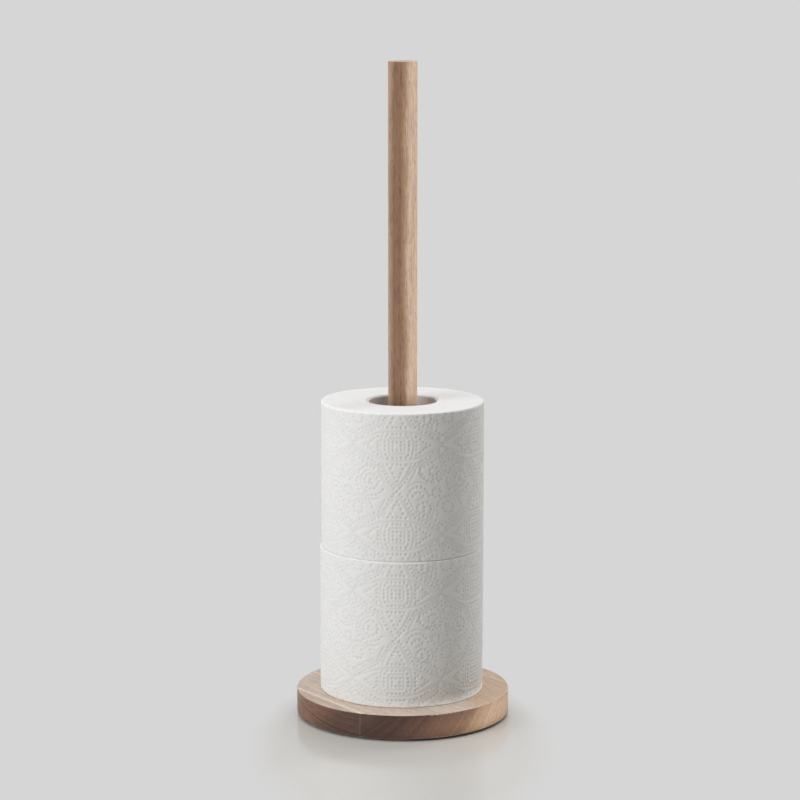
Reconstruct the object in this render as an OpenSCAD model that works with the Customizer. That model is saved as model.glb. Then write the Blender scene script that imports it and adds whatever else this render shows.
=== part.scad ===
// Free-standing storage holder for toilet rolls: a round wooden base glued up from four staves,
// and a wooden rod that is screwed on from below. Two rolls stand on the base, round the rod.
// Millimetres. The origin is on the floor under the middle of the base, +Z is up, and the front is -Y.

/* [Base] */
// Diameter of the round base
base_d = 141; // [124:1:180]
// Thickness of the base
base_t = 16; // [14:0.5:25]
// Rounding of the two rims of the base
base_edge_r = 0.8; // [0.3:0.1:2]
// Direction of the grain and of the glue lines, seen from above, in degrees from +X
grain_angle = -54; // [-90:1:90]
// Greatest width of the two outer staves, from the glue line to the rim
outer_stave_w = 10; // [6:0.5:16]
// Wood left between the recess for the screw and the glue line in the middle
seam_margin = 5; // [3:0.5:12]

/* [Feet] */
// Diameter of a rubber foot
foot_d = 14; // [8:0.5:20]
// Thickness of a foot
foot_t = 1.5; // [1:0.1:4]
// Rounding of a foot's lower rim
foot_edge_r = 0.4; // [0.1:0.1:0.8]
// Distance from a foot's rim to the rim of the base
foot_margin = 7; // [3:0.5:14]

/* [Rod] */
// Diameter of the rod
rod_d = 19; // [16:0.5:25]
// Length of the rod, which stands on the top of the base
rod_l = 415; // [300:0.5:520]
// Rounding of the rod's upper rim
rod_edge_r = 0.5; // [0.2:0.1:3]

/* [Screw and threaded insert] */
// Diameter of the screw's shank
screw_d = 6; // [5:0.5:6.5]
// Length of shank that is screwed into the insert
screw_grip = 13; // [8:0.5:14]
// Diameter of the button head
head_d = 11; // [9:0.5:13]
// Height of the button head
head_h = 3.3; // [2.5:0.1:4]
// Width across the flats of the hexagon socket
socket_w = 4; // [3:0.5:5]
// Depth of the hexagon socket
socket_depth = 2.2; // [1.5:0.1:2.4]
// Depth of the head below the underside of the base
head_sink = 0.7; // [0.3:0.1:2]
// Diameter of the washer
washer_d = 13; // [12:0.5:16]
// Thickness of the washer
washer_t = 1.2; // [0.8:0.1:2]
// Gap between the washer and the wall of its recess
recess_clear = 1; // [0.5:0.1:2]
// Gap between the shank and the holes that it passes through
shank_clear = 0.25; // [0.1:0.05:0.5]
// Outer diameter of the brass insert
insert_d = 9.5; // [8.5:0.5:11]
// Length of the brass insert
insert_l = 15; // [15:0.5:20]
// Radial gap in the thread, and between the insert and the rod
thread_clear = 0.05; // [0.02:0.01:0.1]
// Depth of the drilled hole past the end of the insert
drill_extra = 2; // [1:0.5:6]

/* [Rolls] */
// Height of a roll
roll_h = 97; // [90:0.5:105]
// Diameter of the upper roll
roll_d = 107; // [90:0.5:120]
// Amount by which the lower roll's diameter is greater
lower_roll_extra = 1; // [0:0.5:4]
// Distance of the lower roll's axis from the rod's axis, along X
lower_roll_x = -0.6; // [-3:0.1:3]
// Diameter of the hole in the wound paper
paper_bore_d = 47; // [42:0.5:50]
// Rounding of the outer rims of the wound paper
paper_rim_r = 1.2; // [0.5:0.1:3]
// Rounding of the rims round the hole in the paper
bore_rim_r = 0.5; // [0.2:0.1:1]
// Height of the step at the end of the outermost sheet
tail_step = 0.4; // [0.2:0.05:0.8]
// Direction of that end on the upper roll, in degrees from +X
upper_tail_angle = 104; // [0:1:180]
// Direction of that end on the lower roll, in degrees from +X
lower_tail_angle = 66; // [0:1:180]
// Wall of the cardboard core
core_wall = 1; // [0.6:0.1:1.5]
// Radial gap between the core and the paper
core_clear = 0.1; // [0.05:0.05:0.3]
// Depth of the core's ends below the ends of the paper
core_drop = 0.8; // [0.2:0.1:2]

/* [Hidden] */

$fn = 128;
// Overlap that lets a cutting shape pass clean through a face
cut = 1;

// Levels above the floor
base_z = foot_t;
base_top_z = base_z + base_t;
lower_roll_z = base_top_z;
upper_roll_z = lower_roll_z + roll_h;

// Glue lines, as distances from the rod's axis across the grain
recess_d = washer_d + 2 * recess_clear;
outer_seam = base_d / 2 - outer_stave_w;
middle_seam = recess_d / 2 + seam_margin;

// The stack in the recess, from the underside of the base upwards
head_z = base_z + head_sink;
washer_z = head_z + head_h;
recess_top_z = washer_z + washer_t;
shank_l = base_top_z - washer_z + screw_grip;

hole_d = screw_d + 2 * shank_clear;
foot_ring_r = base_d / 2 - foot_margin - foot_d / 2;
foot_first_angle = 45;
foot_pitch = 90;

// Cross-section of a ring or a disc from inner_r to outer_r, with rounded rims.
// With an inner radius of zero it is a disc, and inner_edge is not used.
module rim_profile(inner_r, outer_r, height, inner_edge, low_edge, top_edge) {
    wall = outer_r - inner_r;
    inner = inner_r > 0 ? inner_edge : 0;
    low_flat = wall - inner - low_edge;
    top_flat = wall - inner - top_edge;
    split = inner_r + wall / 2;
    translate([inner_r + inner, 0])
        square([low_flat, height / 2]);
    translate([inner_r + inner, height / 2])
        square([top_flat, height / 2]);
    translate([inner_r, inner])
        square([wall / 2, height - 2 * inner]);
    translate([split, low_edge])
        square([wall / 2, height - low_edge - top_edge]);
    translate([outer_r - low_edge, low_edge])
        circle(low_edge);
    translate([outer_r - top_edge, height - top_edge])
        circle(top_edge);
    if (inner > 0) {
        for (z = [inner, height - inner])
            translate([inner_r + inner, z])
                circle(inner);
    }
}

// The turned base before it is cut along its glue lines, with the recess and hole for the screw
module base_blank() {
    difference() {
        translate([0, 0, base_z])
            rotate_extrude()
                rim_profile(0, base_d / 2, base_t, 0, base_edge_r, base_edge_r);
        translate([0, 0, base_z - cut])
            cylinder(d = recess_d, h = recess_top_z - base_z + cut);
        translate([0, 0, base_z])
            cylinder(d = hole_d, h = base_t + cut);
    }
}

// One stave: the part of the base between two distances across the grain
module stave(from, to) {
    intersection() {
        base_blank();
        rotate(grain_angle)
            translate([-base_d, from, base_z - cut])
                cube([2 * base_d, to - from, base_t + 2 * cut]);
    }
}

module stave_left() {
    color("#8a6a58") stave(-base_d, -outer_seam);
}

module stave_mid_left() {
    color("#b99f8a") stave(-outer_seam, middle_seam);
}

module stave_mid_right() {
    color("#c9a988") stave(middle_seam, outer_seam);
}

module stave_right() {
    color("#d0ad85") stave(outer_seam, base_d);
}

// Rod with an eased upper rim, drilled from below for the insert
module rod() {
    color("#a98a74")
        translate([0, 0, base_top_z])
            difference() {
                union() {
                    cylinder(d = rod_d, h = rod_l - rod_edge_r);
                    translate([0, 0, rod_l - 2 * rod_edge_r])
                        rotate_extrude()
                            rod_rim_profile();
                }
                translate([0, 0, -cut])
                    cylinder(r = insert_d / 2 + thread_clear, h = insert_l + drill_extra + cut);
            }
}

// Upper end of the rod: a disc with a rounded upper rim
module rod_rim_profile() {
    square([rod_d / 2 - rod_edge_r, 2 * rod_edge_r]);
    square([rod_d / 2, rod_edge_r]);
    translate([rod_d / 2 - rod_edge_r, rod_edge_r])
        circle(rod_edge_r);
}

// Brass insert with a flange-free body, flush with the lower end of the rod
module insert() {
    color("#c8a64b")
        translate([0, 0, base_top_z])
            difference() {
                cylinder(d = insert_d, h = insert_l);
                translate([0, 0, -cut])
                    cylinder(r = screw_d / 2 + thread_clear, h = insert_l + 2 * cut);
            }
}

// Screw with a domed button head, driven from below by a hexagon socket
module screw() {
    crown = head_h / 3;
    color("#b9bbbd") {
        translate([0, 0, washer_z])
            cylinder(d = screw_d, h = shank_l);
        difference() {
            union() {
                translate([0, 0, head_z + crown])
                    cylinder(d = head_d, h = head_h - crown);
                translate([0, 0, head_z])
                    cylinder(d1 = head_d - 2 * crown, d2 = head_d, h = crown);
            }
            translate([0, 0, head_z - cut])
                cylinder(d = socket_w / cos(30), h = socket_depth + cut, $fn = 6);
        }
    }
}

module washer() {
    color("#c3c5c6")
        translate([0, 0, washer_z])
            difference() {
                cylinder(d = washer_d, h = washer_t);
                translate([0, 0, -cut])
                    cylinder(d = hole_d, h = washer_t + 2 * cut);
            }
}

// Rubber foot number i, stuck under the base with its lower rim rounded
module foot(i) {
    color("#3a3836")
        rotate(foot_first_angle + foot_pitch * (i - 1))
            translate([foot_ring_r, 0, 0])
                rotate_extrude() {
                    square([foot_d / 2 - foot_edge_r, foot_t]);
                    translate([0, foot_edge_r])
                        square([foot_d / 2, foot_t - foot_edge_r]);
                    translate([foot_d / 2 - foot_edge_r, foot_edge_r])
                        circle(foot_edge_r);
                }
}

// Cardboard tube in the middle of a roll
module core() {
    outer_r = paper_bore_d / 2 - core_clear;
    height = roll_h - 2 * core_drop;
    color("#cdc6bb")
        translate([0, 0, core_drop])
            difference() {
                cylinder(r = outer_r, h = height);
                translate([0, 0, -cut])
                    cylinder(r = outer_r - core_wall, h = height + 2 * cut);
            }
}

// Paper wound on the core. Its last half turn swings out from an axis that lies half a step
// to the side, so the outside is a spiral that ends in a step as high as the sheet's end.
module wound_paper(d, tail_angle) {
    bore_r = paper_bore_d / 2;
    color("#f2f2f0")
        rotate(tail_angle) {
            rotate_extrude()
                rim_profile(bore_r, d / 2, roll_h, bore_rim_r, paper_rim_r, paper_rim_r);
            translate([tail_step / 2, 0, 0])
                rotate_extrude(angle = 180)
                    rim_profile(bore_r + tail_step + bore_rim_r, (d + tail_step) / 2, roll_h,
                                0, paper_rim_r, paper_rim_r);
        }
}

module lower_core() {
    translate([lower_roll_x, 0, lower_roll_z]) core();
}

module lower_paper() {
    translate([lower_roll_x, 0, lower_roll_z]) wound_paper(roll_d + lower_roll_extra, lower_tail_angle);
}

module upper_core() {
    translate([0, 0, upper_roll_z]) core();
}

module upper_paper() {
    translate([0, 0, upper_roll_z]) wound_paper(roll_d, upper_tail_angle);
}

stave_left();
stave_mid_left();
stave_mid_right();
stave_right();
rod();
insert();
screw();
washer();
foot(1);  // foot_1
foot(2);  // foot_2
foot(3);  // foot_3
foot(4);  // foot_4
lower_core();
lower_paper();
upper_core();
upper_paper();
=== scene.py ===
import math

import bpy
import numpy as np
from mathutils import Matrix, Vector


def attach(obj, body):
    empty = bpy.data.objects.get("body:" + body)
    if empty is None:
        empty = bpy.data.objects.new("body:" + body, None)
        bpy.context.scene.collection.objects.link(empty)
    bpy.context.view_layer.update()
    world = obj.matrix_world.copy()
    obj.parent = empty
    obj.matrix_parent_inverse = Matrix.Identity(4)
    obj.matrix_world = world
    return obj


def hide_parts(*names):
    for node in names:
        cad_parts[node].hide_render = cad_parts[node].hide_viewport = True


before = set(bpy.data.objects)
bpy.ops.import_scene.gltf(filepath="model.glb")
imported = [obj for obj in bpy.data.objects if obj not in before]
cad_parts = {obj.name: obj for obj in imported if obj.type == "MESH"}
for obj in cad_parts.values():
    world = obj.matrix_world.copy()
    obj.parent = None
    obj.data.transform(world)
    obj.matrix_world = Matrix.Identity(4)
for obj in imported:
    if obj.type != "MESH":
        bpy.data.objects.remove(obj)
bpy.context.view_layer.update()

MM = 0.001


# Camera

# A long lens looks slightly down on the holder, from the front and from a little above the rod's end.
# Lengths are in metres for the camera and the lamps, and in millimetres for the wood and the rolls
camera_distance = 1.7
camera_height = 0.505
camera_pitch = math.radians(9.8)
camera_turn = math.radians(0.059)
sensor_width = 36
focal_pixels = 2626
picture_width = 800

camera_data = bpy.data.cameras.new("camera")
camera_data.sensor_width = sensor_width
camera_data.lens = focal_pixels * sensor_width / picture_width
camera_data.clip_end = 200
camera = bpy.data.objects.new("camera", camera_data)
camera.location = (0, -camera_distance, camera_height)
camera.rotation_euler = (math.pi / 2 - camera_pitch, 0, camera_turn)
bpy.context.scene.collection.objects.link(camera)
bpy.context.scene.camera = camera
bpy.context.scene.view_settings.view_transform = "Standard"


# Shader writing

class Value:
    """Output of a node. Arithmetic on it adds Math nodes to the same material."""

    def __init__(self, recipe, socket):
        self.recipe = recipe
        self.socket = socket

    def math(self, operation, *terms):
        inputs = dict(enumerate((self, *terms)))
        return self.recipe.node("ShaderNodeMath", {"operation": operation}, inputs)

    def flipped(self, operation, first):
        """The same with this value as the second term."""
        return self.recipe.node("ShaderNodeMath", {"operation": operation}, {0: first, 1: self})

    def __add__(self, other):
        return self.math("ADD", other)

    def __radd__(self, other):
        return self.flipped("ADD", other)

    def __sub__(self, other):
        return self.math("SUBTRACT", other)

    def __rsub__(self, other):
        return self.flipped("SUBTRACT", other)

    def __mul__(self, other):
        return self.math("MULTIPLY", other)

    def __rmul__(self, other):
        return self.flipped("MULTIPLY", other)

    def __truediv__(self, other):
        return self.math("DIVIDE", other)

    def __rtruediv__(self, other):
        return self.flipped("DIVIDE", other)

    def __pow__(self, other):
        return self.math("POWER", other)

    def __abs__(self):
        return self.math("ABSOLUTE")


class Recipe:
    """The node tree of one material or of the world."""

    def __init__(self, owner):
        owner.use_nodes = True
        self.owner = owner
        self.tree = owner.node_tree
        self.tree.nodes.clear()

    def node(self, kind, settings=None, inputs=None, output=0):
        """Any node: its settings first, then the values and links of its sockets."""
        made = self.tree.nodes.new(kind)
        for name, value in (settings or {}).items():
            if name == "stops":
                fill_ramp(made.color_ramp, value)
            else:
                setattr(made, name, value)
        for name, value in (inputs or {}).items():
            if isinstance(value, Value):
                self.tree.links.new(value.socket, made.inputs[name])
            else:
                made.inputs[name].default_value = value
        return Value(self, made.outputs[output])

    def position(self):
        """Object coordinates as three values in millimetres."""
        place = self.node("ShaderNodeTexCoord", output="Object")
        scaled = self.node("ShaderNodeVectorMath", {"operation": "SCALE"}, {0: place, "Scale": 1 / MM})
        return [self.node("ShaderNodeSeparateXYZ", None, {0: scaled}, axis) for axis in "XYZ"]

    def normal(self):
        """The surface's own direction as three values."""
        facing = self.node("ShaderNodeNewGeometry", output="Normal")
        return [self.node("ShaderNodeSeparateXYZ", None, {0: facing}, axis) for axis in "XYZ"]

    def vector(self, x, y, z):
        return self.node("ShaderNodeCombineXYZ", None, {0: x, 1: y, 2: z})

    def noise(self, x, y, z, detail=2.0, rough=0.5, distort=0.0):
        """Cloud of values round 0.5, one lump for each unit of x, y and z."""
        inputs = {"Vector": self.vector(x, y, z), "Scale": 1, "Detail": detail,
                  "Roughness": rough, "Distortion": distort}
        return self.node("ShaderNodeTexNoise", None, inputs, "Fac")

    def noise_line(self, x, detail=2.0, rough=0.5):
        """The same along one value."""
        inputs = {"W": x, "Scale": 1, "Detail": detail, "Roughness": rough}
        return self.node("ShaderNodeTexNoise", {"noise_dimensions": "1D"}, inputs, "Fac")

    def span(self, value, low, high):
        """Smooth step from 0 where value is low to 1 where it is high."""
        inputs = {0: value, 1: low, 2: high}
        return self.node("ShaderNodeMapRange", {"interpolation_type": "SMOOTHSTEP"}, inputs)

    def near(self, value, middle, whole, width):
        """1 where value is no further than whole from middle, down to 0 at width from it."""
        return 1 - self.span(abs(value - middle), whole, width)

    def ramp(self, value, places):
        """Colours along value: places is a list of values in rising order with their colours."""
        low, high = places[0][0], places[-1][0]
        stops = [((place - low) / (high - low), (*colour, 1)) for place, colour in places]
        along = (value - low) / (high - low)
        return self.node("ShaderNodeValToRGB", {"stops": stops}, {0: along}, "Color")

    def mix(self, factor, first, second, mode="MIX"):
        settings = {"data_type": "RGBA", "blend_type": mode}
        return self.node("ShaderNodeMix", settings, {0: factor, 6: first, 7: second}, 2)

    def shade(self, colour, amount):
        """Colour times a value."""
        grey = self.vector(amount, amount, amount)
        return self.mix(1.0, colour, grey, "MULTIPLY")

    def bump(self, height, strength, distance):
        return self.node("ShaderNodeBump", None,
                         {"Height": height, "Strength": strength, "Distance": distance})

    def surface(self, **sockets):
        """Ends the material in a Principled shader with these sockets."""
        inputs = {name.replace("_", " "): value for name, value in sockets.items()}
        self.end_in(self.node("ShaderNodeBsdfPrincipled", None, inputs))
        return self.owner

    def end_in(self, shader, kind="ShaderNodeOutputMaterial"):
        """Links a shader to the tree's output."""
        end = self.tree.nodes.new(kind)
        self.tree.links.new(shader.socket, end.inputs["Surface"])


def fill_ramp(ramp, stops):
    while len(ramp.elements) < len(stops):
        ramp.elements.new(1)
    for element, (place, colour) in zip(ramp.elements, stops):
        element.position = place
        element.color = colour


def recipe_for(name):
    """Empty node tree of a new material."""
    return Recipe(bpy.data.materials.new(name))


# Room

# Plain grey of the background, as light
backdrop_grey = (0.672, 0.672, 0.672, 1)
ambient_colour = (1, 0.84, 0.52, 1)
ambient_strength = 0.105
floor_colour = (0.609, 0.604, 0.598, 1)
floor_roughness = 0.16
floor_ior = 1.45
# Half the floor's width, in metres
floor_reach = 60
# The floor's own shading holds under and in front of the object and gives way to the plain grey round
# it: an oval whose middle lies in front, longer towards the camera than it is wide, in millimetres
shade_middle_y = -75
shade_stretch = 1.75
shade_full_radius = 74
shade_end_radius = 104


def seen_directly(recipe):
    """1 for rays that show the backdrop itself: from the camera, a gloss or a clear thing."""
    kinds = [recipe.node("ShaderNodeLightPath", output=name)
             for name in ("Is Camera Ray", "Is Glossy Ray", "Is Transmission Ray")]
    return kinds[0].math("MAXIMUM", kinds[1]).math("MAXIMUM", kinds[2])


def make_world():
    """Warm dim light from all round, in front of which the backdrop shows as plain grey."""
    world = bpy.data.worlds.new("studio")
    bpy.context.scene.world = world
    recipe = Recipe(world)
    plain = recipe.node("ShaderNodeBackground", None, {"Color": backdrop_grey, "Strength": 1})
    ambient = recipe.node("ShaderNodeBackground", None,
                          {"Color": ambient_colour, "Strength": ambient_strength})
    both = recipe.node("ShaderNodeMixShader", None,
                       {0: seen_directly(recipe), 1: ambient, 2: plain})
    recipe.end_in(both, "ShaderNodeOutputWorld")


def floor_material():
    """Smooth pale floor that takes the object's shadow near it and is plain grey further off."""
    recipe = recipe_for("floor")
    x, y, _ = recipe.position()
    ahead = (y - shade_middle_y) / shade_stretch
    away = recipe.span((x * x + ahead * ahead) ** 0.5, shade_full_radius, shade_end_radius)
    camera_ray = recipe.node("ShaderNodeLightPath", output="Is Camera Ray")
    plain = recipe.node("ShaderNodeEmission", None, {"Color": backdrop_grey, "Strength": 1})
    real = recipe.node(
        "ShaderNodeBsdfPrincipled", None,
        {"Base Color": floor_colour, "Roughness": floor_roughness, "IOR": floor_ior})
    both = recipe.node("ShaderNodeMixShader", None, {0: away * camera_ray, 1: real, 2: plain})
    recipe.end_in(both)
    return recipe.owner


def clear_selection():
    for item in bpy.context.selected_objects:
        item.select_set(False)


def make_floor():
    clear_selection()
    bpy.ops.mesh.primitive_plane_add(size=2 * floor_reach, location=(0, 0, 0))
    floor = bpy.context.object
    floor.name = "floor"
    floor.data.materials.append(floor_material())


def make_lamp(name, kind, power):
    """Lamp that gives light but isn't mirrored in the floor."""
    lamp = bpy.data.lights.new(name, kind)
    lamp.energy = power
    lamp_object = bpy.data.objects.new(name, lamp)
    lamp_object.visible_camera = False
    lamp_object.visible_glossy = False
    bpy.context.scene.collection.objects.link(lamp_object)
    return lamp_object


def overhead(name, width, power):
    """Light from straight above, as wide as the angle says and as strong at every height, so that a
    lifted roll doesn't get brighter."""
    make_lamp(name, "SUN", power).data.angle = math.radians(width)


def softbox(name, azimuth, elevation, distance, size, power, aim=(0, 0, 0.2), spread=180):
    """Area lamp that looks at aim. Azimuth 0 is the camera's side, and 90 is to the right."""
    lamp_object = make_lamp(name, "AREA", power)
    lamp = lamp_object.data
    lamp.shape = "RECTANGLE"
    lamp.size, lamp.size_y = size
    lamp.spread = math.radians(spread)
    turn, rise = math.radians(azimuth), math.radians(elevation)
    level = math.cos(rise)
    towards = Vector((math.sin(turn) * level, -math.cos(turn) * level, math.sin(rise)))
    lamp_object.location = Vector(aim) + distance * towards
    lamp_object.rotation_euler = towards.to_track_quat("Z", "Y").to_euler()
    return lamp_object


def light_only(lamp_object, *nodes):
    """Keeps a lamp's light to these CAD nodes."""
    lit = bpy.data.collections.new(lamp_object.name + "_lit")
    for node in nodes:
        lit.objects.link(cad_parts[node])
    lamp_object.light_linking.receiver_collection = lit


make_world()
softbox("key", azimuth=-61, elevation=18, distance=2.2, size=(1.5, 1.5), power=30.5)
overhead("top", width=46, power=1.96)
softbox("rear_right", azimuth=125, elevation=12, distance=1.3, size=(0.3, 0.9), power=6.5)
# The rod is lit from the right, and this lamp leaves everything else alone
rod_side = softbox("rod_side", azimuth=55, elevation=0, distance=1.1, size=(0.25, 0.75), power=7.4,
                   aim=(0, 0, 0.4))
light_only(rod_side, "rod")
# Narrow beam along the base's rim
softbox("rim_strip", azimuth=55, elevation=0, distance=0.5, size=(0.2, 0.015), power=0.006,
        aim=(0, 0, 0.0105), spread=2)


# Wood

# Direction of the grain in the base, seen from above, as the base's glue lines run
grain_angle = math.radians(-54)
glue_left = -60.5
glue_right = 60.5
base_middle_height = 9.5
# Length and width of what runs along the grain, and the mean width of a growth ring
fibre_size = (9, 0.5)
streak_size = (45, 1.6)
pore_size = (4.6, 0.6)
dash_size = (11, 0.75)
ring_width = 4.6
# Height of the finest relief, in metres
fine_relief = 0.12 * MM
oiled_pore = (0.42, 0.34, 0.3, 1)


def level_distance(x, y, angle):
    """Distance along a level direction, which angle turns from +X."""
    return x * math.cos(angle) + y * math.sin(angle)


def fine_grain(recipe, along, across, deep):
    """How much the fibres lighten or darken, how deep the pores are, and the fibres themselves."""
    def strands(size, detail, rough, shift=0):
        length, width = size
        return recipe.noise(along / length + shift, across / width, deep / width, detail, rough)

    fibre = strands(fibre_size, 3, 0.6)
    streak = strands(streak_size, 3, 0.55)
    pore = recipe.span(strands(pore_size, 1, 0.4, shift=31), 0.57, 0.7)
    tone = 1.04 + (fibre - 0.5) * 0.6 + (streak - 0.5) * 0.5
    return tone, pore, fibre


def wood_surface(recipe, colour, pore, fibre, rough=0.46, gloss=0.32, coat=0.12):
    """Oiled wood with open pores."""
    height = fibre * 0.35 - pore
    # The oil darkens the pores most
    in_pores = recipe.mix(1.0, colour, oiled_pore, "MULTIPLY")
    colour = recipe.mix(pore * 0.4, colour, in_pores)
    return recipe.surface(
        Base_Color=colour,
        Roughness=rough + (fibre - 0.5) * 0.2 + pore * 0.15,
        IOR=1.46,
        Specular_IOR_Level=gloss,
        Coat_Weight=coat,
        Coat_Roughness=0.3,
        Normal=recipe.bump(height, 0.35, fine_relief))


# The flat faces' tint is the wood's colour painted paler, as painted sheen
face_tint = (0.604, 0.504, 0.428, 1)
sapwood = (0.86, 0.74, 0.61, 1)


def stave_material(name, run, blend, shift, top_tint, rim_colours, bright_rings=(), dark_rings=()):
    """Wood of one stave. run says how fast the growth rings follow each other along the grain, across
    it and upwards, and blend says the same of the rim's colours. shift moves the grain along, so that
    no two staves are alike. bright_rings and dark_rings are the rings that stand out on the rim:
    place, half width, and how much lighter or darker they are."""
    recipe = recipe_for(name)
    x, y, z = recipe.position()
    along = level_distance(x, y, grain_angle)
    across = level_distance(x, y, grain_angle + math.pi / 2)
    up = z - base_middle_height
    # Growth rings wander to and fro, in millimetres
    wander = (recipe.noise((along + shift) / 70, across / 28, up / 28, 1) - 0.5) * 9
    ring = along * run[0] + across * run[1] + up * run[2] + wander * 0.6
    place = along * blend[0] + across * blend[1] + up * blend[2] + wander * 0.6
    tone, pore, fibre = fine_grain(recipe, along + shift, across, z)

    # Painted light: the flat faces are painted paler than the turned rim, standing in for the sheen
    # that they catch
    _, _, facing_up = recipe.normal()
    flat = recipe.span(abs(facing_up), 0.45, 0.9)

    # Growth rings of uneven width, each darker towards its late side, fainter on the flat faces
    growth = ring * (1 - flat) + (across + wander) * flat
    wave = growth / ring_width + recipe.noise_line(growth / 11, 1) * 1.6
    late = wave.math("FRACT")
    bands = recipe.noise_line(growth / 2.1 + 7, 3, 0.6)
    ring_tone = 1 + ((bands - 0.5) * 0.34 - late * late * 0.17) * (1 - flat * 0.35)

    # Short dark and light dashes lie along the grain of the flat faces
    dash_length, dash_width = dash_size
    dashes = recipe.noise((along + shift) / dash_length, across / dash_width, 5.5, 2, 0.5)
    dash = recipe.span(dashes, 0.54, 0.7) - recipe.span(dashes, 0.46, 0.3)
    tone = tone * (1 + dash * flat * 0.17) * ring_tone

    clouds = recipe.noise((along + shift) / 60, across / 12, 3.5, 2, 0.6)
    face_with_painted_sheen = recipe.shade(top_tint, 0.8 + clouds * 0.4 - recipe.span(along, 15, -40) * 0.08)

    # A thin pale line of sapwood runs beside the left glue line, a fainter one beside the right
    beside_left = glue_left + 0.1
    pale = recipe.near(across, beside_left, 0.08, 0.25) * 0.07 * (1 - flat)
    pale = pale + recipe.near(across, beside_left, 0.4, 1.7) * 0.72 * flat
    pale = pale + recipe.near(across, glue_right, 0.3, 1.3) * 0.3 * flat
    trace = ring - wander * 0.5
    for middle, width, share in bright_rings:
        pale = pale + recipe.near(trace, middle, 0.1, width) * share * (1 - flat)
    for middle, width, share in dark_rings:
        tone = tone * (1 - recipe.near(trace, middle, 0.1, width) * share * (1 - flat))
    # Painted light: the paler colour with painted sheen on the flat faces, the darker rim colours on
    # the turned rim
    colour = recipe.mix(flat, recipe.ramp(place, rim_colours), face_with_painted_sheen)
    colour = recipe.mix(pale, colour, sapwood)
    return wood_surface(recipe, recipe.shade(colour, tone), pore, fibre)


def stave_materials():
    """Material of each stave. The rings of the two wide ones rise towards the right."""
    rising = (0, 1, -0.81)
    left = stave_material(
        "wood_stave_left", (0.172, 0, 1), (1, 0, -1.5), 140, (0.515, 0.412, 0.342, 1),
        [(-36, (0.28, 0.17, 0.11)), (-22, (0.215, 0.117, 0.072)), (-6, (0.23, 0.12, 0.078)),
         (5, (0.18, 0.095, 0.066)), (15, (0.134, 0.074, 0.053)), (24, (0.112, 0.064, 0.049)),
         (38, (0.1, 0.06, 0.048))],
        dark_rings=[(-1.3, 0.8, 0.4)])
    # Painted shade: the rim's colours are darkest at its front, partly the wood's own dark heartwood
    # and partly painted shade
    mid_left = stave_material(
        "wood_stave_mid_left", rising, rising, 0, face_tint,
        [(-62, (0.105, 0.062, 0.048)), (-57, (0.075, 0.043, 0.033)), (-50, (0.076, 0.042, 0.033)),
         (-41, (0.1, 0.054, 0.042)), (-30, (0.135, 0.073, 0.05)), (-23, (0.185, 0.102, 0.07)),
         (-10, (0.23, 0.13, 0.087)), (-1, (0.275, 0.161, 0.104)), (2.6, (0.315, 0.192, 0.12)),
         (3.6, (0.415, 0.266, 0.163)), (14, (0.5, 0.338, 0.218))],
        dark_rings=[(-44, 2.6, 0.2), (-33.5, 1.4, 0.2), (-12, 1.1, 0.12)])
    # Painted light: the rim's colours turn golden towards the right, over paler wood, as if lit from
    # the right
    mid_right = stave_material(
        "wood_stave_mid_right", rising, rising, 320, (0.612, 0.455, 0.332, 1),
        [(10, (0.47, 0.31, 0.2)), (16, (0.515, 0.35, 0.228)), (27, (0.53, 0.368, 0.244)),
         (40, (0.488, 0.34, 0.238)), (62, (0.4, 0.275, 0.19))],
        bright_rings=[(20.3, 0.7, 0.34), (22.6, 0.7, 0.34)])
    right = stave_material(
        "wood_stave_right", (0, 1, 0.6), (0, 1, 0.6), 610, (0.577, 0.448, 0.348, 1),
        [(56, (0.34, 0.22, 0.145)), (76, (0.44, 0.3, 0.2))])
    return {"stave_left": left, "stave_mid_left": mid_left,
            "stave_mid_right": mid_right, "stave_right": right}


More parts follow.
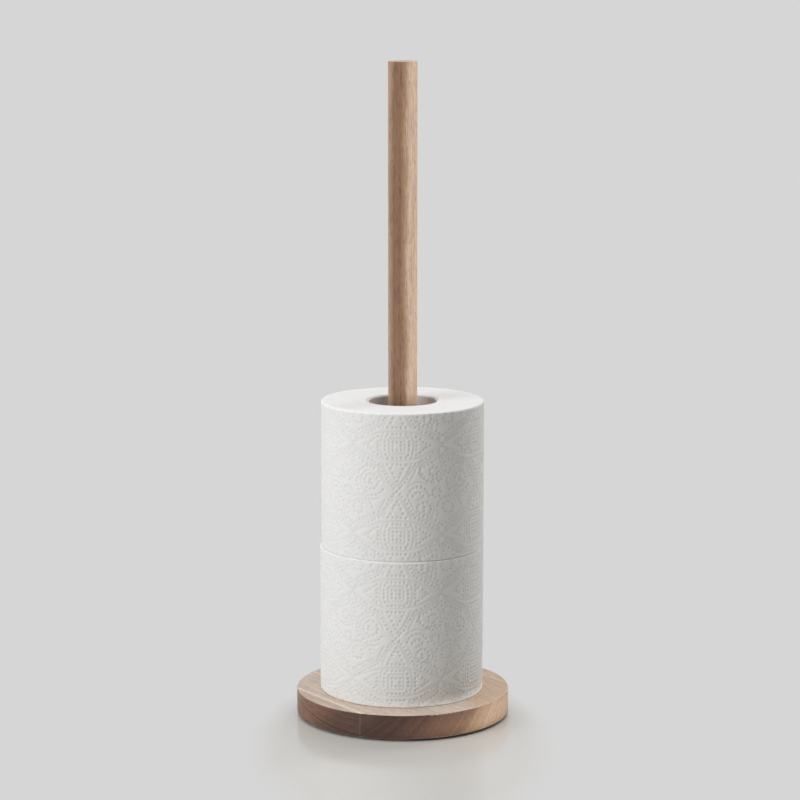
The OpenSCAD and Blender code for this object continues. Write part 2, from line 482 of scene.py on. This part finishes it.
def rod_material():
    """Wood of the rod, darker on the left of its front and paler on the right: the wood's own figure,
    with painted shade on the left and painted light on the right.
    """
    recipe = recipe_for("wood_rod")
    x, y, z = recipe.position()
    sway = (recipe.noise(x / 14, y / 14, z / 60, 2) - 0.5) * 5
    ripple = (recipe.noise(x / 5, y / 5, z / 9, 1) - 0.5) * 1.6
    across = x + ripple * 0.4
    deep = y + ripple * 0.3
    tone, pore, fibre = fine_grain(recipe, z + 900, across, deep)
    side = x * 0.97 - y * 0.12 + sway + ripple
    # Painted shade and painted light: the colours run from dark on the left of the front to pale on the
    # right, as if lit from the right, over the wood's own figure
    from_left_to_right = [
        (-9.5, (0.52, 0.345, 0.25)), (-6.9, (0.38, 0.24, 0.168)), (-4.4, (0.265, 0.16, 0.108)),
        (0, (0.25, 0.145, 0.094)), (2, (0.33, 0.2, 0.133)), (4, (0.49, 0.335, 0.24)),
        (5.8, (0.61, 0.45, 0.345)), (7.6, (0.55, 0.41, 0.315)), (9.5, (0.48, 0.355, 0.275))]
    colour = recipe.ramp(side, from_left_to_right)
    bands = recipe.noise_line(side / 1.1 + 3, 3, 0.7)
    figure = recipe.noise(x / 2.4, y / 2.4, z / 6, 3, 0.6, 0.8)
    dashes = recipe.noise(across / 0.8, deep / 0.8, z / 16, 2, 0.5)
    dash = recipe.span(dashes, 0.55, 0.72) - recipe.span(dashes, 0.45, 0.3)
    tone = tone * (1 + (bands - 0.5) * 0.45 + (figure - 0.5) * 0.45 + dash * 0.16)
    brightest = 1.16
    tone = tone.math("MINIMUM", brightest)

    # On the end, growth rings show as arcs round the tree's middle, and pores as specks
    _, _, facing_up = recipe.normal()
    flat = recipe.span(facing_up, 0.4, 0.9)
    tree_x, tree_y = -16, 11
    from_middle = ((x - tree_x) * (x - tree_x) + (y - tree_y) * (y - tree_y)) ** 0.5 + sway * 0.25
    arcs = recipe.noise_line(from_middle / 0.9, 3, 0.65)
    specks = recipe.noise(x / 0.4, y / 0.4, 7.5, 1, 0.4)
    end_tone = 0.8 + arcs * 0.55 - recipe.span(specks, 0.6, 0.7) * 0.3
    colour = recipe.mix(flat * 0.85, colour, recipe.shade((0.6, 0.47, 0.36, 1), end_tone))
    return wood_surface(recipe, recipe.shade(colour, tone), pore, fibre, rough=0.55, gloss=0.2, coat=0)


# Other finishes

# Attribute of the wound paper: 1 in the middle of an embossed dot, 0 where the sheet is loose. The
# tissue darkens the dots by it, as painted shade
PRESSED = "pressed"
# The ends of a roll are painted lighter and cooler than its wall: painted light, for the light that the
# ends catch from above
wall_tissue = (0.855, 0.863, 0.872, 1)
end_tissue = (0.885, 0.898, 0.928, 1)


def paper_material():
    """Soft matt tissue, with the edges of its sheets as faint rings on the ends of the roll."""
    recipe = recipe_for("tissue_paper")
    x, y, z = recipe.position()
    fibre = recipe.noise(x / 0.55, y / 0.55, z / 0.4, 3, 0.65)
    lumps = recipe.noise(x / 3.2, y / 3.2, z / 3.2, 2, 0.5)
    _, _, facing_up = recipe.normal()
    end = recipe.span(abs(facing_up), 0.6, 0.9)
    radius = (x * x + y * y) ** 0.5
    rings = recipe.noise_line(radius / 0.45, 3, 0.6)
    height = fibre * (1 - end) + rings * end * 0.8 + lumps * 0.6
    # Painted shade: the embossed pits are darkened for the shade in them, and a little for the plies,
    # which are denser where they are pressed together
    pressed = recipe.node("ShaderNodeAttribute", {"attribute_name": PRESSED}, output="Fac")
    tone = 1 + (lumps - 0.5) * 0.03 + (rings - 0.5) * end * 0.07 - pressed * 0.08
    colour = recipe.shade(recipe.mix(end, wall_tissue, end_tissue), tone)
    return recipe.surface(
        Base_Color=colour, Roughness=0.93, Specular_IOR_Level=0.2,
        Normal=recipe.bump(height, 0.5, fine_relief))


def core_material():
    """Pale board wound as a helix, so that its butt joint climbs round the tube."""
    recipe = recipe_for("core_board")
    x, y, z = recipe.position()
    turn = y.math("ARCTAN2", x) / (2 * math.pi)
    fleck = recipe.noise(x / 0.8, y / 0.8, z / 1.6, 3, 0.6)
    cloud = recipe.noise(x / 14, y / 14, z / 14, 2)
    rise_of_one_turn = 118
    seam_place = (turn + z / rise_of_one_turn).math("FRACT")
    seam = recipe.near(seam_place, 0.5, 0.002, 0.006)
    tone = 1 + (fleck - 0.5) * 0.18 + (cloud - 0.5) * 0.1 - seam * 0.35
    colour = recipe.shade((0.87, 0.86, 0.84, 1), tone)
    return recipe.surface(
        Base_Color=colour, Roughness=0.9, Specular_IOR_Level=0.25,
        Normal=recipe.bump(fleck * 0.4 - seam, 0.4, 0.2 * MM))


def rubber_material():
    """Dark matt rubber with some dust on it."""
    recipe = recipe_for("foot_rubber")
    x, y, z = recipe.position()
    grit = recipe.noise(x / 0.5, y / 0.5, z / 0.5, 3, 0.6)
    dust = recipe.noise(x / 4, y / 4, z / 4, 2)
    colour = recipe.shade((0.022, 0.021, 0.02, 1), 0.8 + grit * 0.3 + dust * 0.3)
    return recipe.surface(
        Base_Color=colour, Roughness=0.7 + (grit - 0.5) * 0.2, Specular_IOR_Level=0.4,
        Normal=recipe.bump(grit, 0.4, 0.1 * MM))


def metal_material(name, colour, roughness):
    """Turned metal: fine rings round the axis of the holder."""
    recipe = recipe_for(name)
    x, y, z = recipe.position()
    radius = (x * x + y * y) ** 0.5
    rings = recipe.noise_line(radius / 0.12 + z / 0.2, 2, 0.6)
    stain = recipe.noise(x / 3, y / 3, z / 3, 3, 0.6)
    tinted = recipe.shade(colour, 0.86 + stain * 0.2 + (rings - 0.5) * 0.12)
    return recipe.surface(
        Base_Color=tinted, Metallic=1.0,
        Roughness=roughness + (stain - 0.5) * 0.2 + (rings - 0.5) * 0.1,
        Normal=recipe.bump(rings, 0.15, 0.05 * MM))


def dress(node, material):
    """Gives a CAD node its finish."""
    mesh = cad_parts[node].data
    mesh.materials.clear()
    mesh.materials.append(material)


# Rolls

roll_height = 97
upper_roll_diameter = 107
lower_roll_diameter = 108
lower_roll_x = -0.6
bore_radius = 23.5
rim_round = 1.2
bore_round = 0.5
base_top = 17.5
# Step at the end of the outermost sheet, and where it is round each roll
tail_step = 0.4
upper_tail = math.radians(104)
lower_tail = math.radians(66)
# The sheets next to the core stay as they were wound
still_radius = bore_radius + 3
# How far the wall and the upper end of a roll are from even, and the most that a sheet stands up
wall_unevenness = 0.14
end_unevenness = 0.12
most_lift = 0.1

# Columns of points round a roll, rows of them up its wall, cuts across each of its ends, and how near
# to each other two points are merged
columns = 512
wall_rows = 148
end_cuts = 8
merge_distance = 0.02 * MM

# Repeat of the embossed pattern round the roll and up it, and the place of its first medallion
cell_width = 61
cell_height = 59
medallion_drop = 20.7
medallion_turn = math.radians(-93.7)
dot_pitch = 2.75
dot_depth = 0.68
# Share of its depth that a dot has in its middle, at the points beside it and at its corners
dot_shares = (1, 0.42, 0.16)
line_depth = 0.3
line_width = 0.6
# How far the embossing keeps from the sheet's end
line_margin = 1
dot_margin = 1.5


def spaced(line, pitch=dot_pitch):
    """Places about pitch millimetres apart along a line of points, both ends among them."""
    line = np.array(line, float)
    run = np.concatenate([[0], np.cumsum(np.hypot(*np.diff(line, axis=0).T))])
    at = np.linspace(0, run[-1], max(1, round(run[-1] / pitch)) + 1)
    return np.column_stack([np.interp(at, run, line[:, axis]) for axis in (0, 1)])


def beside(line, gap):
    """A line moved sideways by gap, to the left as it runs."""
    line = np.array(line, float)
    ahead = np.gradient(line, axis=0)
    ahead /= np.hypot(ahead[:, 0], ahead[:, 1])[:, None]
    return line + gap * np.column_stack([-ahead[:, 1], ahead[:, 0]])


def arc(centre, radius, start, end):
    """Line along a circle from one angle to another, in degrees."""
    turn = np.radians(np.linspace(start, end, 60))
    return np.column_stack([centre[0] + radius * np.cos(turn), centre[1] + radius * np.sin(turn)])


def rounded_square(half, power=5):
    """Closed line between a circle and a square."""
    turn = np.linspace(0, 2 * math.pi, 120)
    cos, sin = np.cos(turn), np.sin(turn)
    reach = half * (np.abs(cos) ** power + np.abs(sin) ** power) ** (-1 / power)
    return np.column_stack([reach * cos, reach * sin])


def frame_quarter():
    """Dots and lines of the upper right quarter of the frame round a medallion."""
    lens_height = 9.7
    across = np.linspace(0, cell_width / 2, 60)
    lens = np.column_stack([across, lens_height * (1 - (2 * across / cell_width) ** 2)])
    bracket = arc((-8, 0), 18.7, 0, 26)
    # From the waist between two medallions down beside the triangle, then out over the lens
    ogee = [(0, 29.5), (2, 27.2), (4, 24.9), (5.9, 22.6), (7.4, 20.2), (8.7, 17.7), (9.9, 15.2),
            (10.9, 12.6), (13.6, 10.9), (16.4, 9.6), (19, 8.3), (21.5, 6.8), (24, 5.2), (27.5, 3.2),
            (30.5, 1.2)]
    triangle_above = [(0, 12.4), (5.6, 12.4), (0, 22.8)]
    triangle_beside = [(12.7, 0), (12.7, 5.6), (21.4, 0)]
    lines = [lens, bracket, beside(ogee[1:8], -1.8), beside(ogee[3:14], 2.1)]
    dots = [spaced(ogee), spaced(beside(ogee[8:], 4.3))]
    for corners in (triangle_above, triangle_beside):
        dots.extend((spaced(corners[:2]), spaced(corners[1:])))
    return dots, lines


def between_frames():
    """Dots and lines between the frames, from left to right: a bud over a seed, a leaf, a flower, and a
    stem over a half ring over a ring. Each arc has a centre, a radius, a start and an end."""
    bud, bud_bow, seed = (-36.7, 41.8), (-38.5, 43.5), (-34.5, 28)
    leaf, leaf_eye, flower = (-25.5, 16.4), (-26.5, 17.5), (-17, 35.2)
    half_ring, ring = (14, 25.3), (17.5, 17.3)
    dotted = (
        (bud, 3, 0, 360), (bud_bow, 10, -60, 55), (bud_bow, 7.2, 160, 300), (seed, 3, 0, 360),
        (leaf, 9.2, 12, 198), (leaf_eye, 3.7, 0, 360),
        (flower, 1.5, 120, 300), (flower, 4.9, 0, 360), (flower, 10.4, 75, 215),
        (flower, 9.2, 240, 325),
        (half_ring, 3.4, 20, 160), (half_ring, 7, 10, 165), (ring, 1.3, 90, 270), (ring, 4.6, 0, 360))
    smooth = (
        (bud_bow, 7.8, -40, 50), (leaf, 6.4, 45, 140), (flower, 7.6, 100, 250),
        (flower, 11.6, 245, 300), (half_ring, 9.7, 55, 135), (ring, 7.2, -60, 30), (ring, 7.2, 85, 130))
    stem = [(14.2, 41.2), (16.3, 38.8), (19.8, 36), (24.5, 34.2)]
    dots = [spaced(arc(*place)) for place in dotted]
    return [*dots, spaced(stem)], [arc(*place) for place in smooth]


def embossing():
    """Dots and lines of one repeat, in millimetres to the right of and above its medallion."""
    # The medallion is a square of dots in a line in a ring of dots
    square_half = 2.63
    dots = [spaced(rounded_square(square_half, 30), square_half), spaced(rounded_square(7.8))]
    lines = [rounded_square(5.0, 10)]
    quarter_dots, quarter_lines = frame_quarter()
    for mirror in ((1, 1), (-1, 1), (1, -1), (-1, -1)):
        dots.extend(part * mirror for part in quarter_dots)
        lines.extend(part * mirror for part in quarter_lines)
    more_dots, more_lines = between_frames()
    return np.concatenate(dots + more_dots), lines + more_lines


def emboss_map(radius, tail):
    """Depth of the embossing at each column and row of the wall, in millimetres."""
    circumference = 2 * math.pi * radius
    column_width = circumference / columns
    row_height = (roll_height - 2 * rim_round) / wall_rows
    dots, lines = embossing()
    # Medallions sit on points of the wall, whole steps apart, so that every repeat comes out alike
    step = np.array((column_width, row_height))
    first = np.rint(((medallion_turn - tail) % (2 * math.pi) * radius / column_width,
                     (roll_height - rim_round - medallion_drop) / row_height))
    repeat = np.rint((cell_width / column_width, cell_height / row_height))
    cells = [(first + repeat * (across, up)) * step
             for across in range(-5, 6) for up in range(-2, 2)]
    stroke_pitch = 0.25
    strokes = np.concatenate([spaced(line, stroke_pitch) + cell for cell in cells for line in lines])
    spots = np.concatenate([dots + cell for cell in cells])

    def places(points, margin):
        """Nearest column and row of the points that keep clear of the sheet's end."""
        inside = (points[:, 0] > margin) & (points[:, 0] < circumference - margin)
        points = points[inside & (points[:, 1] > -1) & (points[:, 1] < roll_height)]
        return points, np.rint(points / step).astype(int)

    # Grooves: depth by the distance to the nearest point of a line
    strokes, at = places(strokes, line_margin)
    far = 9.0
    nearest = np.full((columns, wall_rows + 1), far)
    for shift in np.ndindex(5, 5):
        near = at + shift - (2, 2)
        held = (near[:, 1] >= 0) & (near[:, 1] <= wall_rows)
        gap = np.hypot(*(near * step - strokes).T)
        np.minimum.at(nearest, (near[held, 0] % columns, near[held, 1]), gap[held])
    depth = line_depth * np.exp(-(nearest / line_width) ** 2)

    # Dots: one point pressed in, and its neighbours with it
    _, at = places(spots, dot_margin)
    for shift in np.ndindex(3, 3):
        near = at + shift - (1, 1)
        held = (near[:, 1] >= 0) & (near[:, 1] <= wall_rows)
        share = dot_shares[abs(shift[0] - 1) + abs(shift[1] - 1)]
        np.maximum.at(depth, (near[held, 0] % columns, near[held, 1]), share * dot_depth)
    return depth


def smooth_noise(turns, heights, seed, around, up):
    """Slow waves round and up a roll, mostly between -1 and 1."""
    random = np.random.default_rng(seed)
    total = np.zeros(np.broadcast(turns, heights).shape)
    for _ in range(9):
        waves = random.integers(1, around + 1)
        rise = random.uniform(-up, up)
        total += np.sin(waves * turns + rise * heights + random.uniform(0, 2 * math.pi))
    return total / 4


def make_roll(name, centre_x, low, diameter, tail, seed):
    """Wound paper: a profile spun round the axis, then given its spiral, its step and its embossing."""
    radius = diameter / 2
    wall = radius - bore_radius
    foot = (centre_x * MM, 0, low * MM)
    clear_selection()
    bpy.ops.mesh.primitive_plane_add(size=1, location=foot)
    roll = bpy.context.object
    roll.name = name
    bpy.ops.object.mode_set(mode="EDIT")
    bpy.ops.mesh.select_all(action="SELECT")
    bpy.ops.mesh.delete(type="ONLY_FACE")
    # The square's outline stands up as the section of the wall
    bpy.ops.mesh.select_all(action="SELECT")
    bpy.ops.transform.resize(value=(wall * MM, roll_height * MM, 1), center_override=foot)
    bpy.ops.transform.rotate(value=-math.pi / 2, orient_axis="X", center_override=foot)
    bpy.ops.transform.translate(value=((bore_radius + wall / 2) * MM, 0, roll_height / 2 * MM))
    select_points(roll, lambda place: place.x > (radius - 1) * MM)
    bpy.ops.mesh.bevel(offset=rim_round * MM, segments=3, affect="VERTICES")
    select_points(roll, lambda place: place.x < (bore_radius + 0.4) * MM)
    bpy.ops.mesh.bevel(offset=bore_round * MM, segments=2, affect="VERTICES")
    split_edges(roll, lambda a, b: abs(a.x - b.x) > wall * 0.8 * MM, end_cuts)
    split_wall(roll, radius)
    bpy.ops.object.mode_set(mode="OBJECT")
    turn_profile(roll)
    settle(roll)
    shape_roll(roll, centre_x, low, radius, tail, seed)
    bpy.ops.object.shade_smooth()
    return roll


def turn_profile(piece):
    """Sweeps a profile once round its own Z axis and closes the shape."""
    clear_selection()
    piece.select_set(True)
    bpy.context.view_layer.objects.active = piece
    sweep = piece.modifiers.new("sweep", "SCREW")
    sweep.axis = "Z"
    sweep.steps = sweep.render_steps = columns
    sweep.use_merge_vertices = True
    sweep.merge_threshold = merge_distance
    bpy.ops.object.modifier_apply(modifier=sweep.name)
    bpy.ops.object.mode_set(mode="EDIT")
    bpy.ops.mesh.select_all(action="SELECT")
    bpy.ops.mesh.remove_doubles(threshold=merge_distance)
    bpy.ops.mesh.normals_make_consistent(inside=False)
    bpy.ops.object.mode_set(mode="OBJECT")


def settle(piece):
    """Puts the piece's place into its mesh."""
    clear_selection()
    piece.select_set(True)
    bpy.context.view_layer.objects.active = piece
    bpy.ops.object.transform_apply(location=True, rotation=True, scale=True)


def select_points(piece, chosen):
    """Selects the points whose place passes the test, in edit mode."""
    bpy.ops.mesh.select_mode(type="VERT")
    bpy.ops.mesh.select_all(action="DESELECT")
    bpy.ops.object.mode_set(mode="OBJECT")
    for vertex in piece.data.vertices:
        vertex.select = chosen(vertex.co)
    bpy.ops.object.mode_set(mode="EDIT")


def split_edges(piece, chosen, cuts):
    """Cuts the edges whose two ends pass the test."""
    bpy.ops.mesh.select_mode(type="EDGE")
    bpy.ops.mesh.select_all(action="DESELECT")
    bpy.ops.object.mode_set(mode="OBJECT")
    points = piece.data.vertices
    for edge in piece.data.edges:
        edge.select = chosen(points[edge.vertices[0]].co, points[edge.vertices[1]].co)
    bpy.ops.object.mode_set(mode="EDIT")
    bpy.ops.mesh.subdivide(number_cuts=cuts)


def split_wall(piece, radius):
    """Cuts the outer wall into its rows: in half, in half again, then the rest at once."""
    outer = (radius - 0.05) * MM
    for cuts in (1, 1, wall_rows // 4 - 1):
        split_edges(piece, lambda a, b: a.x > outer and b.x > outer, cuts)


def shape_roll(roll, centre_x, low, radius, tail, seed):
    """Moves the points of a plain ring to where the wound and embossed paper has them."""
    mesh = roll.data
    points = np.zeros(len(mesh.vertices) * 3)
    mesh.vertices.foreach_get("co", points)
    points = points.reshape(-1, 3) / MM
    x = points[:, 0] - centre_x
    y = points[:, 1]
    up = points[:, 2] - low
    reach = np.hypot(x, y)
    turn = (np.arctan2(y, x) - tail) % (2 * math.pi)
    column = np.round(turn / (2 * math.pi) * columns).astype(int) % columns
    turn = column * 2 * math.pi / columns

    # Share of the outward moves: whole on the wall, none at the bore
    share = np.clip((reach - still_radius) / (radius - still_radius), 0, 1)
    spiral = np.where(turn <= math.pi, tail_step * (1 + np.cos(turn)) / 2, 0)
    out = spiral * share ** 2
    out += wall_unevenness * smooth_noise(turn, up / 40, seed, 5, 2) * share ** 4

    row = np.round((up - rim_round) / (roll_height - 2 * rim_round) * wall_rows).astype(int)
    on_wall = (reach > radius - 0.02) & (row >= 0) & (row <= wall_rows)
    depth = np.zeros(len(points))
    depth[on_wall] = emboss_map(radius, tail)[column[on_wall], row[on_wall]]
    out -= depth
    pressed = mesh.attributes.new(PRESSED, "FLOAT", "POINT")
    pressed.data.foreach_set("value", depth / dot_depth)

    # The last column is drawn up to the first, which makes the step at the sheet's end
    step_gap = 0.03
    at_end = (column == columns - 1) & (reach > still_radius)
    turn = np.where(at_end, 2 * math.pi - step_gap / radius, turn)

    # The upper end of the roll isn't quite flat: the sheets stand a little unevenly
    half_height = roll_height / 2
    end_share = np.clip(np.abs(up - half_height) / half_height, 0, 1) ** 30
    away_from_bore = np.clip((reach - bore_radius) / (still_radius - bore_radius), 0, 1)
    sheets = smooth_noise(turn, reach / 2.2, seed + 5, 4, 4) * end_unevenness
    lift = np.where(up > half_height, sheets, 0) * end_share * away_from_bore

    reach = reach + out
    angle = turn + tail
    points = np.column_stack([
        centre_x + reach * np.cos(angle),
        reach * np.sin(angle),
        low + up + np.minimum(lift, most_lift)])
    mesh.vertices.foreach_set("co", (points * MM).ravel())
    mesh.update()


# Whole object

make_floor()
paper = paper_material()
for name, node, body, centre_x, low, diameter, tail, seed in (
        ("wound_paper_lower", "lower_paper", "lower_roll",
         lower_roll_x, base_top, lower_roll_diameter, lower_tail, 11),
        ("wound_paper_upper", "upper_paper", "upper_roll",
         0, base_top + roll_height, upper_roll_diameter, upper_tail, 23)):
    roll = make_roll(name, centre_x, low, diameter, tail, seed)
    roll.data.materials.append(paper)
    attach(roll, body)
    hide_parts(node)

for node, material in stave_materials().items():
    dress(node, material)
dress("rod", rod_material())
core_board = core_material()
dress("lower_core", core_board)
dress("upper_core", core_board)
rubber = rubber_material()
for number in range(1, 5):
    dress(f"foot_{number}", rubber)
dress("insert", metal_material("insert_brass", (0.78, 0.56, 0.24, 1), roughness=0.35))
steel = metal_material("plated_steel", (0.62, 0.63, 0.64, 1), roughness=0.32)
dress("screw", steel)
dress("washer", steel)
